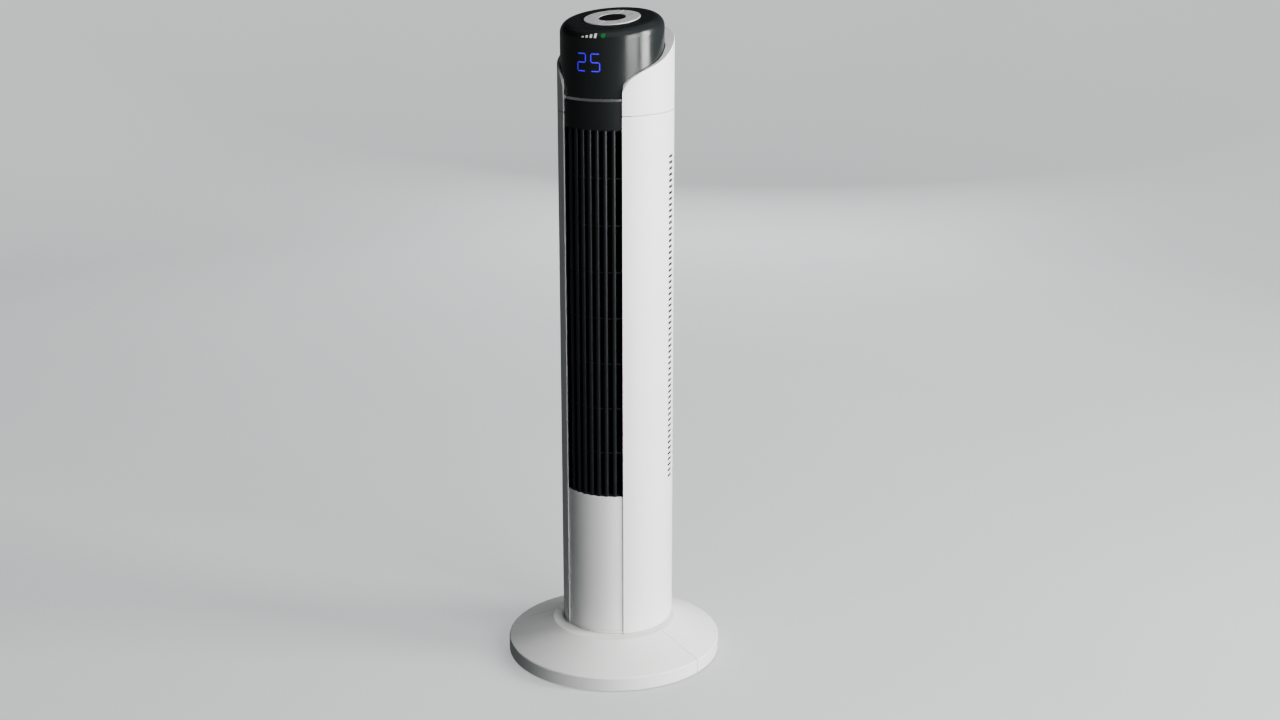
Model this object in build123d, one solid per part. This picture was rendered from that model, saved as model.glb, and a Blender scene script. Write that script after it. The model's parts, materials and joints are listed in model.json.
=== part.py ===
"""Free-standing tower fan: a round base, an oscillating elliptical column with a cross-flow blower, and a round
control head. Millimetres, +Z up, front towards -Y, origin on the floor at the centre of the base."""

import os
from math import acos, atan2, cos, degrees, pi, radians, sin, sqrt, tan

from build123d import *

# ---- Base ----
BASE_R = 150.0
BASE_BOTTOM_Z = 2.0
BASE_WALL_TOP_Z = 20.5
HUB_R = 86.0
HUB_TOP_Z = 48.0
HUB_HOLE_R = 61.0
COVER_WALL = 3.0
COVER_SEAM_ANGLE = 78.0
COVER_SEAM_GAP = 0.9
RIM_FILLET = 2.5
HUB_FILLET = 0.5
BASE_PLATE_TOP_Z = 5.0
CORE_R = 60.0
CORE_TOP_Z = 47.0
CORE_FLANGE = 3.0
BALLAST_R = 118.0
BALLAST_INNER_R = 66.0
BALLAST_H = 8.0
FOOT_R = 9.0
FOOT_CIRCLE_R = 132.0
FOOT_ANGLES = (30, 90, 150, 210, 270, 330)
BASE_SCREW_CIRCLE_R = 130.0
BASE_SCREW_ANGLES = (0, 60, 120, 180, 240, 300)
BASE_BOSS_TOP_Z = 26.8
GLAND_Z = 11.0
GLAND_R = 5.0
GLAND_BORE_R = 3.2

# ---- Turning joint between base and column ----
POST_R = 14.0
POST_BORE_R = 9.0
POST_TOP_Z = 70.0
RUNNING_GAP = 0.05
SLIDE_RING_R = 56.0
SLIDE_RING_INNER_R = 40.0
GEAR_MODULE = 1.0
GEAR_TEETH = 60
PINION_TEETH = 16
PRESSURE_ANGLE = 20.0
ADDENDUM = 0.8
DEDENDUM = 1.1
TOOTH_THINNING = 0.16
GEAR_SECTOR_TEETH = 19
GEAR_Z = 60.3
GEAR_H = 7.5
MESH_GAP = 0.1
PINION_Y = GEAR_MODULE * (GEAR_TEETH + PINION_TEETH) / 2 + MESH_GAP
CIRCLIP_Z = 68.2
CIRCLIP_H = 1.2

# ---- Column ----
COLUMN_A = 76.6
COLUMN_B = 81.8
COLUMN_Y = 13.2
SHELL_WALL = 3.0
FRONT_RECESS = 2.2
FRONT_WALL = 2.5
OPENING_X = 42.9
SIDE_GAP = 0.3
FLANGE_INSET = 3.3
FLANGE_DEPTH = 2.0
FLANGE_INNER_X = 38.0
FLANGE_OUTER_X = 50.0
COLUMN_BOTTOM_Z = 48.6
TURNTABLE_TOP_Z = 53.0
PLATE_INSET = 0.6
COLLAR_SEAM_Z = 773.5
COLLAR_SEAM_GAP = 0.8
COLLAR_LIP = 3.5
COLLAR_LIP_GAP = 0.15
COLLAR_LIP_T = 2.0
COLLAR_TALLEST_Z = 890.0
LEDGE_T = 3.0
SHELL_SCREW_Z = (110, 430, 745)
GRILLE_BOTTOM_Z = 252.2
GRILLE_TOP_Z = 755.6
PANEL_TOP_Z = 792.4
TRIM_TOP_Z = 796.4
PIECE_GAP = 0.3

# ---- Grille ----
BLADE_PITCH = 10.8
BLADE_WIDTH = 7.4
BLADE_BACK_WIDTH = 4.0
BLADE_DEPTH = 12.0
BLADE_CORNER = 3.0
BLADES_EACH_SIDE = 3
BAYS = 8
RIB_H = 2.2
RIB_INSET = 4.6
RAIL_H = 3.0
GRILLE_SIDE_X = 40.9
GRILLE_BACK_Y = -45.5
DUCT_FRONT_Y = -45.0

# ---- Intake slots ----
SLOT_H = 3.8
INTAKE_WALL = 1.4
INTAKE_MARGIN = 6.0
INTAKE_FRONT_Y = 9.0
SPINE_CLEARANCE = (28.0, 40.0)
SLOT_TOP_Z = 713.5
SLOT_PITCH = 8.16
SLOT_ROWS = 56
SLOT_COLUMNS = ((98.5, 16.0), (125.0, 26.0), (154.0, 25.0))

# ---- Blower and its duct ----
BLOWER_Y = 24.0
BLOWER_R = 45.0
BLADE_INNER_R = 36.0
BLOWER_BLADES = 30
BLOWER_BLADE_T = 1.2
BLOWER_BOTTOM_Z = 262.0
BLOWER_DISC_H = 2.4
BLOWER_MODULE_H = 60.5
DUCT_FLOOR_Z = 254.0
DUCT_CEILING_Z = 755.0
DUCT_PLATE = 3.0
DUCT_WALL = 2.0
SHAFT_R = 4.0
END_PIN_R = 3.0

# ---- Main motor ----
MOTOR_R = 38.0
MOTOR_Z = 165.0
STATOR_H = 34.0
STATOR_BORE_R = 22.0
MOTOR_BELL_H = 20.0
MOTOR_PLATE_Z = 226.0
MOTOR_SCREW_R = 30.0

# ---- Head ----
HEAD_R = 68.7
HEAD_Y = 3.0
HEAD_WALL = 2.5
HEAD_BOTTOM_Z = 796.7
HEAD_CENTRE_Z = 893.0
HEAD_SLANT = 9.5
HEAD_EDGE = 14.0
HEAD_INNER_EDGE = 9.0
HEAD_TOP_WALL = 5.5
HEAD_GAP = 0.4
DECK_TOP_Z = 800.0
DECK_H = 3.0

# ---- Keys on the slanted top; heights are measured along its normal from its surface ----
RING_R = 37.4
RING_INNER_R = 18.0
BUTTON_R = 17.2
KEY_RECESS_R = 38.6
KEY_RECESS = 2.2
KEY_UNDER = -1.2
RING_KEY_TOP = 0.8
BUTTON_TOP = 0.6
KEY_GAP = 0.7
KEY_STEM_R = 2.0
KEY_STEM_HOLE_R = 2.5
KEY_STEM_CIRCLE_R = 28.0
KEY_STEM_END = -7.5
SWITCH_SIZE = 6.0
SWITCH_TOP = -9.3
BOARD_TOP = -12.8
BOARD_T = 1.6

# ---- Display ----
DIGIT_W = 13.6
DIGIT_H = 24.0
DIGIT_Z = 842.3
DIGIT_CENTRES = ((-9.6, "2"), (10.0, "5"))
SEGMENT_T = 1.8
SEGMENT_GAP = 0.5
MARK_Z = 873.5
MARK_W = 3.4
MARK_PITCH = 5.9
MARK_HEIGHTS = (2.0, 3.2, 4.4, 5.6)
FIRST_MARK_X = -8.0
LED_X = 19.8
LED_Z = 876.5
LED_R = 2.8

HEAD_TOP_PLANE = Plane(
    origin=(0, HEAD_Y, HEAD_CENTRE_Z),
    x_dir=(1, 0, 0),
    z_dir=(0, -sin(radians(HEAD_SLANT)), cos(radians(HEAD_SLANT))),
)


# ---------------------------------------------------------------- helpers
def cylinder(radius, bottom, top, x=0.0, y=0.0):
    """Solid round bar standing on the height `bottom`."""
    return Pos(x, y, (bottom + top) / 2) * Cylinder(radius, top - bottom)


def tube(outer, inner, bottom, top, x=0.0, y=0.0):
    """Round tube between two heights."""
    return cylinder(outer, bottom, top, x, y) - cylinder(inner, bottom - 1, top + 1, x, y)


def block(low, high):
    """Box between two corners."""
    size = [b - a for a, b in zip(low, high)]
    centre = [(a + b) / 2 for a, b in zip(low, high)]
    return Pos(*centre) * Box(*size)


def lifted(sketch, bottom, top):
    """Extrude a plan sketch between two heights."""
    return extrude(Pos(0, 0, bottom) * sketch, amount=top - bottom)


def column_oval(inset):
    """Plan of the column, inset from its outer surface."""
    return Pos(0, COLUMN_Y) * Ellipse(COLUMN_A - inset, COLUMN_B - inset)


def column_band(outer_inset, inner_inset):
    """Plan of a wall that follows the column."""
    return column_oval(outer_inset) - column_oval(inner_inset)


def front_strip(half_width, inner_x=0.0):
    """Plan rectangle, or a pair of them, in front of the column's widest point."""
    strip = Pos(0, -60) * Rectangle(2 * half_width, 120)
    if inner_x:
        strip = strip - Pos(0, -60) * Rectangle(2 * inner_x, 130)
    return strip


def front_y(x, inset):
    """Y of the column's front surface at a given X and inset."""
    return COLUMN_Y - (COLUMN_B - inset) * sqrt(1 - (x / (COLUMN_A - inset)) ** 2)


def oval_point(angle, inset):
    """Point on the column at an ellipse angle counted from the front, and its outward direction in degrees."""
    a = COLUMN_A - inset
    b = COLUMN_B - inset
    x = a * sin(radians(angle))
    y = COLUMN_Y - b * cos(radians(angle))
    outward = degrees(atan2(-cos(radians(angle)) / b, sin(radians(angle)) / a))
    return x, y, outward


def front_panel(bottom, top, recess=FRONT_RECESS):
    """Curved front piece that fills the column's opening, with a flange behind each edge of the shell."""
    half = OPENING_X - SIDE_GAP
    face = column_band(recess, FRONT_RECESS + FRONT_WALL) & front_strip(half)
    flanges = column_band(FLANGE_INSET, FLANGE_INSET + FLANGE_DEPTH)
    flanges = flanges & front_strip(FLANGE_OUTER_X, FLANGE_INNER_X)
    return lifted(face, bottom, top) + lifted(flanges, bottom, top)


def ring_of(angles, radius):
    """Plan positions on a circle about the origin."""
    return [(radius * cos(radians(a)), radius * sin(radians(a))) for a in angles]


def screw(x, y, bottom, top, head_r, shank_r, head_h):
    """Pan-head screw that points up, its head at the bottom."""
    return cylinder(head_r, bottom, bottom + head_h, x, y) + cylinder(shank_r, bottom + head_h, top, x, y)


# ---------------------------------------------------------------- base
def base_cover_profile():
    """Half section of the dished base cover: side wall, cone and flat hub ring."""
    slope = atan2(HUB_TOP_Z - BASE_WALL_TOP_Z, BASE_R - HUB_R)
    drop = COVER_WALL / cos(slope) - COVER_WALL * tan(slope)
    outline = Polyline(
        (BASE_R, BASE_BOTTOM_Z),
        (BASE_R, BASE_WALL_TOP_Z),
        (HUB_R, HUB_TOP_Z),
        (HUB_HOLE_R, HUB_TOP_Z),
        (HUB_HOLE_R, HUB_TOP_Z - COVER_WALL),
        (HUB_R - COVER_WALL * tan(slope / 2), HUB_TOP_Z - COVER_WALL),
        (BASE_R - COVER_WALL, BASE_WALL_TOP_Z - drop),
        (BASE_R - COVER_WALL, BASE_BOTTOM_Z),
        close=True,
    )
    face = make_face(outline)
    rim = [v for v in face.vertices() if v.Y > BASE_WALL_TOP_Z - 0.1 and v.X > BASE_R - 0.1]
    face = fillet(rim, RIM_FILLET)
    crown = [v for v in face.vertices() if v.Y > HUB_TOP_Z - 0.1 and v.X > HUB_R - 0.1]
    return fillet(crown, HUB_FILLET)


def base_cover(half_angle, facing):
    """Sector of the base cover, `half_angle` each side of the direction `facing` in degrees."""
    profile = Plane.XZ * base_cover_profile()
    gap = degrees(COVER_SEAM_GAP / 2 / BASE_R)
    sweep = 2 * (half_angle - gap)
    cover = Rot(0, 0, facing - sweep / 2) * revolve(profile, Axis.Z, sweep)
    for angle, (x, y) in zip(BASE_SCREW_ANGLES, ring_of(BASE_SCREW_ANGLES, BASE_SCREW_CIRCLE_R)):
        turn = (angle - facing + 180) % 360 - 180
        if abs(turn) < half_angle:
            cover += tube(4.0, 1.5, BASE_PLATE_TOP_Z, BASE_BOSS_TOP_Z, x, y)
    return cover


def base_front_cover():
    return base_cover(COVER_SEAM_ANGLE, 270)


def gland_bar(radius, inner_y, outer_y):
    """Round bar along Y at the cord outlet."""
    length = outer_y - inner_y
    return Pos(0, (inner_y + outer_y) / 2, GLAND_Z) * Rot(90, 0, 0) * Cylinder(radius, length)


def base_rear_cover():
    cover = base_cover(180 - COVER_SEAM_ANGLE, 90)
    return cover - gland_bar(GLAND_R, BASE_R - 20, BASE_R + 5)


def cord_gland():
    """Moulded bush that the mains lead would leave through."""
    bush = gland_bar(GLAND_R, BASE_R - 12, BASE_R - 0.4)
    return bush - gland_bar(GLAND_BORE_R, BASE_R - 20, BASE_R + 5)


def base_plate():
    plate = cylinder(BASE_R - COVER_WALL - 0.3, BASE_BOTTOM_Z, BASE_PLATE_TOP_Z)
    for x, y in ring_of(BASE_SCREW_ANGLES, BASE_SCREW_CIRCLE_R):
        plate -= cylinder(1.6, 0, 10, x, y)
        plate -= cylinder(3.4, 0, BASE_BOTTOM_Z + 1.5, x, y)
    return plate - cylinder(POST_BORE_R, 0, 10)


def base_screws():
    return Compound([
        screw(x, y, BASE_BOTTOM_Z + 0.2, BASE_BOSS_TOP_Z - 4, 3.0, 1.45, 1.3)
        for x, y in ring_of(BASE_SCREW_ANGLES, BASE_SCREW_CIRCLE_R)
    ])


def rubber_feet():
    feet = []
    for x, y in ring_of(FOOT_ANGLES, FOOT_CIRCLE_R):
        foot = cylinder(FOOT_R, 0, BASE_BOTTOM_Z, x, y)
        feet.append(chamfer(foot.edges().sort_by(Axis.Z)[0], 0.6))
    return Compound(feet)


def ballast_ring():
    top = BASE_PLATE_TOP_Z + BALLAST_H
    return tube(BALLAST_R, BALLAST_INNER_R, BASE_PLATE_TOP_Z, top)


def base_core():
    """Structural hub under the column: a wall with stiffening ribs and a flange that carries the slide ring."""
    wall = tube(CORE_R, CORE_R - 3, BASE_PLATE_TOP_Z, CORE_TOP_Z - CORE_FLANGE)
    flange = tube(CORE_R, POST_R, CORE_TOP_Z - CORE_FLANGE, CORE_TOP_Z)
    inner_wall = tube(30, 27, BASE_PLATE_TOP_Z, CORE_TOP_Z - CORE_FLANGE)
    core = wall + flange + inner_wall
    for angle in range(0, 360, 45):
        core += Rot(0, 0, angle) * block((28.5, -1, BASE_PLATE_TOP_Z), (58.5, 1, CORE_TOP_Z - CORE_FLANGE))
    return core


def slide_ring():
    """Low-friction ring that the column turns on."""
    return tube(SLIDE_RING_R, SLIDE_RING_INNER_R, CORE_TOP_Z, COLUMN_BOTTOM_Z - RUNNING_GAP)


def pivot_post():
    """Hollow post that the column turns about; the wires pass through its bore."""
    flange_top = CORE_TOP_Z - CORE_FLANGE
    post = cylinder(POST_R, flange_top, POST_TOP_Z) + cylinder(24, flange_top - 4, flange_top)
    post -= tube(POST_R + 5, POST_R - 1, CIRCLIP_Z, CIRCLIP_Z + CIRCLIP_H)
    return post - cylinder(POST_BORE_R, 0, POST_TOP_Z + 5)


def post_circlip():
    clip = tube(POST_R + 3, POST_R - 1, CIRCLIP_Z + 0.1, CIRCLIP_Z + CIRCLIP_H - 0.1)
    return clip - block((-3, -30, 0), (3, 0, 100))


def involute_gear_sector(teeth, first, count, hub_r, phase):
    """Plan of an external gear: `count` teeth from number `first`, the rest of the rim left at the root."""
    pitch_r = GEAR_MODULE * teeth / 2
    base_r = pitch_r * cos(radians(PRESSURE_ANGLE))
    tip_r = pitch_r + ADDENDUM * GEAR_MODULE
    root_r = pitch_r - DEDENDUM * GEAR_MODULE
    half_tooth = pi / 2 / teeth - TOOTH_THINNING / 2 / pitch_r
    pitch_roll = tan(radians(PRESSURE_ANGLE)) - radians(PRESSURE_ANGLE)

    def half_angle(radius):
        """Half of the tooth's angular thickness at a radius."""
        alpha = acos(min(1.0, base_r / radius))
        return half_tooth + pitch_roll - (tan(alpha) - alpha)

    start_r = max(base_r, root_r)
    middle_r = (start_r + tip_r) / 2
    gear = Circle(root_r)
    for number in range(first, first + count):
        centre = radians(phase) + 2 * pi * number / teeth

        def at(radius, side, width_radius=None):
            angle = centre + side * half_angle(width_radius or radius)
            return radius * cos(angle), radius * sin(angle)

        inner_r = root_r - 0.3
        outline = [
            Line(at(inner_r, -1, start_r), at(start_r, -1)),
            ThreePointArc(at(start_r, -1), at(middle_r, -1), at(tip_r, -1)),
            Line(at(tip_r, -1), at(tip_r, 1)),
            ThreePointArc(at(tip_r, 1), at(middle_r, 1), at(start_r, 1)),
            Line(at(start_r, 1), at(inner_r, 1, start_r)),
            Line(at(inner_r, 1, start_r), at(inner_r, -1, start_r)),
        ]
        gear += make_face(Wire(outline))
    if hub_r:
        gear -= Circle(hub_r)
    return gear


def sector_gear():
    """Fixed gear on the post, toothed only over the stretch that the pinion walks along, at the rear."""
    first = -(GEAR_SECTOR_TEETH // 2)
    plan = involute_gear_sector(GEAR_TEETH, first, GEAR_SECTOR_TEETH, POST_R, 90)
    return lifted(plan, GEAR_Z, GEAR_Z + GEAR_H)


def drive_pinion():
    """Pinion and its shaft, turned by the oscillation motor."""
    plan = involute_gear_sector(PINION_TEETH, 0, PINION_TEETH, 0, -90 + 180 / PINION_TEETH)
    gear = Pos(0, PINION_Y, 0) * lifted(plan, GEAR_Z + 0.3, GEAR_Z + GEAR_H - 0.3)
    return gear + cylinder(3.0, GEAR_Z + GEAR_H - 0.3, 84, 0, PINION_Y)


# ---------------------------------------------------------------- column shells
def turntable_plate():
    """Bottom of the column with its bearing hub; its front lies flush with the lower front cover."""
    front_cut = column_band(0, FRONT_RECESS) & front_strip(OPENING_X)
    plate = lifted(column_oval(PLATE_INSET) - front_cut, COLUMN_BOTTOM_Z, TURNTABLE_TOP_Z)
    plate += cylinder(22, TURNTABLE_TOP_Z, GEAR_Z - RUNNING_GAP)
    return plate - cylinder(POST_R + RUNNING_GAP, 0, 100)


def intake_slots():
    """Rounded horizontal slots through the rear shell, in columns mirrored about the centre line."""
    slots = []
    for angle, length in SLOT_COLUMNS:
        for side in (-1, 1):
            x, y, outward = oval_point(side * angle, SHELL_WALL / 2)
            for row in range(SLOT_ROWS):
                z = SLOT_TOP_Z - row * SLOT_PITCH
                plan = Plane(
                    origin=(x, y, z),
                    x_dir=(-sin(radians(outward)), cos(radians(outward)), 0),
                    z_dir=(cos(radians(outward)), sin(radians(outward)), 0),
                )
                slots.append(extrude(plan * SlotOverall(length, SLOT_H), amount=5, both=True))
    return slots


def shell_screw_bar(radius, z, near_y, far_y):
    """Round bar along Y on the shell's rear centre line."""
    return Pos(0, (near_y + far_y) / 2, z) * Rot(90, 0, 0) * Cylinder(radius, far_y - near_y)


def intake_relief():
    """Space inside the shell's rear that thins its wall behind the slots, either side of the screws."""
    behind = Pos(0, INTAKE_FRONT_Y + COLUMN_B) * Rectangle(4 * COLUMN_A, 2 * COLUMN_B)
    plan = column_band(INTAKE_WALL, SHELL_WALL + 1) & behind
    plan -= Pos(0, COLUMN_Y + COLUMN_B) * Rectangle(*SPINE_CLEARANCE)
    bottom = SLOT_TOP_Z - (SLOT_ROWS - 1) * SLOT_PITCH - INTAKE_MARGIN
    return lifted(plan, bottom, SLOT_TOP_Z + INTAKE_MARGIN)


def rear_shell():
    back_y = COLUMN_Y + COLUMN_B
    shell = lifted(column_band(0, SHELL_WALL) - front_strip(OPENING_X), TURNTABLE_TOP_Z, COLLAR_SEAM_Z)
    shell -= intake_slots()
    shell -= intake_relief()
    for z in SHELL_SCREW_Z:
        shell -= shell_screw_bar(1.6, z, back_y - 6, back_y + 2)
        shell -= shell_screw_bar(3.4, z, back_y - 1.6, back_y + 2)
    return shell


def rear_spine():
    """Upright inside the back of the shell that the shell is screwed to."""
    back_y = COLUMN_Y + COLUMN_B - SHELL_WALL
    spine = block((-6, back_y - 10, TURNTABLE_TOP_Z), (6, back_y - 0.4, COLLAR_SEAM_Z - 4))
    for z in SHELL_SCREW_Z:
        spine -= shell_screw_bar(1.6, z, back_y - 20, back_y + 2)
    return spine


def shell_screws():
    back_y = COLUMN_Y + COLUMN_B
    screws = []
    for z in SHELL_SCREW_Z:
        shank = shell_screw_bar(1.45, z, back_y - 12, back_y - 1.5)
        head = shell_screw_bar(3.0, z, back_y - 1.5, back_y - 0.1)
        cross = block((-0.4, back_y - 0.7, z - 2), (0.4, back_y + 1, z + 2))
        cross += block((-2, back_y - 0.7, z - 0.4), (2, back_y + 1, z + 0.4))
        screws.append(shank + head - cross)
    return Compound(screws)


def collar_cutter():
    """Everything above the collar's sweeping top edge, which rises from the front to the back."""
    front = COLUMN_Y - COLUMN_B
    edge = Spline(
        (front - 5, 790),
        (-54.6, 804),
        (-48.8, 818.5),
        (-37.4, 828.5),
        (-2.4, 842.4),
        (24, 855),
        (50, 866.5),
        (78.5, 875.4),
        (100, 880.6),
    )
    outline = edge + Polyline(edge @ 1, (100, 960), (front - 5, 960), edge @ 0)
    face = make_face(outline)
    return extrude(Plane.YZ * face, amount=120, both=True)


def top_collar():
    """White collar round the head: its wall, the ledge that closes the space to the head, and a locating lip."""
    bottom = COLLAR_SEAM_Z + COLLAR_SEAM_GAP
    above_edge = collar_cutter()
    wall = lifted(column_band(0, SHELL_WALL) - front_strip(OPENING_X), bottom, COLLAR_TALLEST_Z)
    ledge_plan = column_oval(SHELL_WALL - 0.5) - Pos(0, HEAD_Y) * Circle(HEAD_R + HEAD_GAP)
    ledge_plan -= front_strip(OPENING_X + 1)
    ledge = lifted(ledge_plan, HEAD_BOTTOM_Z, COLLAR_TALLEST_Z) & Pos(0, 0, -LEDGE_T) * above_edge
    collar = wall + ledge - above_edge
    lip_inset = SHELL_WALL + COLLAR_LIP_GAP + COLLAR_LIP_T
    lip_plan = column_band(SHELL_WALL + COLLAR_LIP_GAP, lip_inset) - front_strip(FLANGE_OUTER_X + 1)
    collar += lifted(lip_plan, COLLAR_SEAM_Z - COLLAR_LIP, COLLAR_SEAM_Z + COLLAR_LIP)
    bridge_plan = column_band(SHELL_WALL - 0.5, lip_inset) - front_strip(FLANGE_OUTER_X + 1)
    return collar + lifted(bridge_plan, bottom, COLLAR_SEAM_Z + COLLAR_LIP)


def lower_front_cover():
    cover = front_panel(TURNTABLE_TOP_Z + 0.2, GRILLE_BOTTOM_Z)
    top_edges = [
        e for e in cover.edges()
        if abs(e.center().Z - GRILLE_BOTTOM_Z) < 0.01 and e.length > 60 and e.center().Y < front_y(0, 3.5)
    ]
    return chamfer(top_edges, 1.2)


def upper_front_panel():
    return front_panel(GRILLE_TOP_Z + PIECE_GAP, PANEL_TOP_Z)


def trim_strip():
    half = OPENING_X - SIDE_GAP
    plan = column_band(FRONT_RECESS - 0.5, FRONT_RECESS + FRONT_WALL) & front_strip(half)
    return lifted(plan, PANEL_TOP_Z + 0.1, TRIM_TOP_Z)


def grille_blade():
    """Plan of one upright blade, its rounded front face on the origin and its depth along +Y."""
    outline = Polyline(
        (-BLADE_WIDTH / 2, 0),
        (BLADE_WIDTH / 2, 0),
        (BLADE_BACK_WIDTH / 2, BLADE_DEPTH),
        (-BLADE_BACK_WIDTH / 2, BLADE_DEPTH),
        close=True,
    )
    face = make_face(outline)
    corners = [v for v in face.vertices() if v.Y < 0.1]
    return fillet(corners, BLADE_CORNER)


def front_grille():
    """Outlet grille: upright blades, cross ribs set behind them, side rails and two hidden end rails."""
    bottom = GRILLE_BOTTOM_Z + 0.2
    blade = grille_blade()
    plan = front_strip(OPENING_X - SIDE_GAP, GRILLE_SIDE_X) & column_band(FRONT_RECESS, FRONT_RECESS + BLADE_DEPTH)
    plan += column_band(FLANGE_INSET, FLANGE_INSET + FLANGE_DEPTH) & front_strip(FLANGE_OUTER_X, GRILLE_SIDE_X - 0.5)
    for index in range(-BLADES_EACH_SIDE, BLADES_EACH_SIDE + 1):
        x = index * BLADE_PITCH
        y = front_y(x, FRONT_RECESS)
        slope = (COLUMN_B / COLUMN_A) ** 2 * x / (COLUMN_Y - y)
        plan += Pos(x, y) * Rot(0, 0, degrees(atan2(slope, 1))) * blade
    grille = lifted(plan, bottom, GRILLE_TOP_Z)
    cross = column_band(RIB_INSET, FRONT_RECESS + BLADE_DEPTH) & front_strip(GRILLE_SIDE_X + 0.5)
    pitch = (GRILLE_TOP_Z - GRILLE_BOTTOM_Z) / BAYS
    for rib in range(1, BAYS):
        z = GRILLE_BOTTOM_Z + rib * pitch
        grille += lifted(cross, z - RIB_H / 2, z + RIB_H / 2)
    rail = column_band(FRONT_RECESS + FRONT_WALL + 0.3, FRONT_RECESS + BLADE_DEPTH) & front_strip(36)
    grille += lifted(rail, bottom - 6, bottom + RAIL_H)
    grille += lifted(rail, GRILLE_TOP_Z - 2, GRILLE_TOP_Z + 6)
    return grille - block((-60, GRILLE_BACK_Y, 200), (60, 60, 800))


# ---------------------------------------------------------------- duct, blower and main motor
def inner_plate(bottom, top):
    """Plate across the inside of the column, clear of the front pieces and of the rear spine."""
    plan = column_oval(FLANGE_INSET + FLANGE_DEPTH + 0.4)
    plan -= Pos(0, DUCT_FRONT_Y - 60) * Rectangle(2 * (OPENING_X + 5), 120)
    plan -= Pos(0, COLUMN_Y + COLUMN_B) * Rectangle(12.6, 27)
    return lifted(plan, bottom, top)


def duct_floor():
    return inner_plate(DUCT_FLOOR_Z, DUCT_FLOOR_Z + DUCT_PLATE) - cylinder(12, 200, 300, 0, BLOWER_Y)


def duct_ceiling():
    plate = inner_plate(DUCT_CEILING_Z - DUCT_PLATE, DUCT_CEILING_Z)
    plate += cylinder(18, DUCT_CEILING_Z, DUCT_CEILING_Z + 7, 0, BLOWER_Y)
    return plate - cylinder(13, 700, 800, 0, BLOWER_Y)


def duct_wall(first, middle, last):
    """Upright curved wall of the air duct through three plan points."""
    chord_x = last[0] - first[0]
    chord_y = last[1] - first[1]
    length = sqrt(chord_x**2 + chord_y**2)
    shift_x = DUCT_WALL * chord_y / length
    shift_y = -DUCT_WALL * chord_x / length
    far = [(x + shift_x, y + shift_y) for x, y in (last, middle, first)]
    outline = [
        ThreePointArc(first, middle, last),
        Line(last, far[0]),
        ThreePointArc(*far),
        Line(far[2], first),
    ]
    return lifted(make_face(Wire(outline)), DUCT_FLOOR_Z + DUCT_PLATE, DUCT_CEILING_Z - DUCT_PLATE)


def duct_scroll():
    """Volute wall that leads the air from behind the blower to the outlet's left edge."""
    return duct_wall((-43, 49), (-55, 10), (-42, DUCT_FRONT_Y))


def duct_tongue():
    """Short stabiliser wall that closes the gap beside the blower on the right."""
    return duct_wall((42, DUCT_FRONT_Y), (45, -28), (40, -8))


def impeller_blade():
    """Plan of one forward-curved blade."""
    def at(radius, angle):
        return radius * cos(radians(angle)), radius * sin(radians(angle))

    outer_r = BLOWER_R - 0.5
    middle_r = (BLADE_INNER_R + outer_r) / 2
    half = degrees(BLOWER_BLADE_T / 2 / middle_r)
    outline = [
        ThreePointArc(at(BLADE_INNER_R, -half), at(middle_r, 3.5 - half), at(outer_r, 12 - half)),
        Line(at(outer_r, 12 - half), at(outer_r, 12 + half)),
        ThreePointArc(at(outer_r, 12 + half), at(middle_r, 3.5 + half), at(BLADE_INNER_R, half)),
        Line(at(BLADE_INNER_R, half), at(BLADE_INNER_R, -half)),
    ]
    return make_face(Wire(outline))


def impeller():
    """Welded stack of bladed modules: discs joined by rings of long blades, with a hub at each end."""
    blade = impeller_blade()
    ring = [Rot(0, 0, 360 / BLOWER_BLADES * i) * blade for i in range(BLOWER_BLADES)]
    top = BLOWER_BOTTOM_Z + BAYS * BLOWER_MODULE_H
    wheel = cylinder(BLOWER_R, BLOWER_BOTTOM_Z, BLOWER_BOTTOM_Z + BLOWER_DISC_H)
    for disc in range(1, BAYS):
        z = BLOWER_BOTTOM_Z + disc * BLOWER_MODULE_H
        wheel += tube(BLOWER_R, BLADE_INNER_R - 2, z, z + BLOWER_DISC_H)
    wheel += cylinder(BLOWER_R, top - BLOWER_DISC_H, top)
    wheel += [lifted(b, BLOWER_BOTTOM_Z + 1, top - 1) for b in ring]
    wheel += cylinder(11, BLOWER_BOTTOM_Z, BLOWER_BOTTOM_Z + 22)
    wheel += cylinder(8, top - 16, top)
    wheel -= cylinder(SHAFT_R, BLOWER_BOTTOM_Z - 1, BLOWER_BOTTOM_Z + 18)
    wheel -= cylinder(END_PIN_R, top - 12, top + 1)
    return Pos(0, BLOWER_Y, 0) * wheel


def end_pin():
    """Steel pin at the top of the impeller, running in the bush."""
    top = BLOWER_BOTTOM_Z + BAYS * BLOWER_MODULE_H
    return cylinder(END_PIN_R, top - 12, DUCT_CEILING_Z + 6, 0, BLOWER_Y)


def drive_shaft():
    return cylinder(SHAFT_R, MOTOR_Z - 14, BLOWER_BOTTOM_Z + 18, 0, BLOWER_Y)


def motor_rotor():
    return tube(STATOR_BORE_R - 0.4, SHAFT_R, MOTOR_Z, MOTOR_Z + STATOR_H, 0, BLOWER_Y)


def bearing_bush():
    bottom = DUCT_CEILING_Z - DUCT_PLATE
    return tube(6.5, END_PIN_R + 0.04, bottom, DUCT_CEILING_Z + 7, 0, BLOWER_Y)


def bearing_rubber():
    bottom = DUCT_CEILING_Z - DUCT_PLATE
    return tube(13, 6.5, bottom, DUCT_CEILING_Z + 7, 0, BLOWER_Y)


def motor_stator():
    ring = tube(MOTOR_R, STATOR_BORE_R, MOTOR_Z + 4, MOTOR_Z + STATOR_H - 4, 0, BLOWER_Y)
    for x, y in ring_of(range(45, 360, 90), MOTOR_SCREW_R + 4):
        ring -= cylinder(2.2, 0, 400, x, y + BLOWER_Y)
    return ring


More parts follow.
